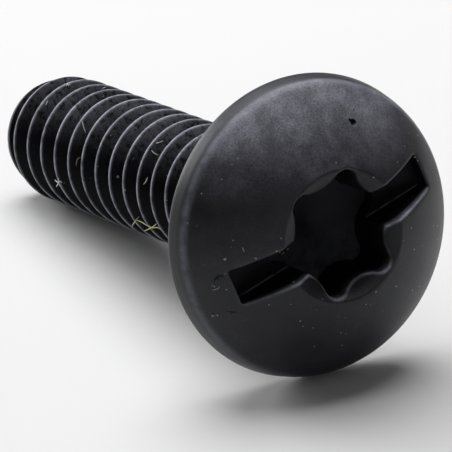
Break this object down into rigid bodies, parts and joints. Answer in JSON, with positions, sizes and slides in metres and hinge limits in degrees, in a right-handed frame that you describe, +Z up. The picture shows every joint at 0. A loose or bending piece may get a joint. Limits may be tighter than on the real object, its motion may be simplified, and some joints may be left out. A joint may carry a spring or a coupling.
{
  "type": "machine screw",
  "caption": "Black machine screw with a domed truss head, a six-lobe recess crossed by a slot, and a coarse thread up to a short neck",
  "frame": {"origin": "bottom centre of the bounding box, on the surface the screw lies on", "axes": "the screw lies along X with its head towards +X, its axis in the XZ plane and raised about 10 degrees at the head; +Z up"},
  "size_m": [0.0222, 0.011, 0.0108],
  "materials": {
    "coat": "satin black oxide on steel, with light smudges"
  },
  "bodies": {
    "root": {"screw": "coat"}
  },
  "joints": []
}
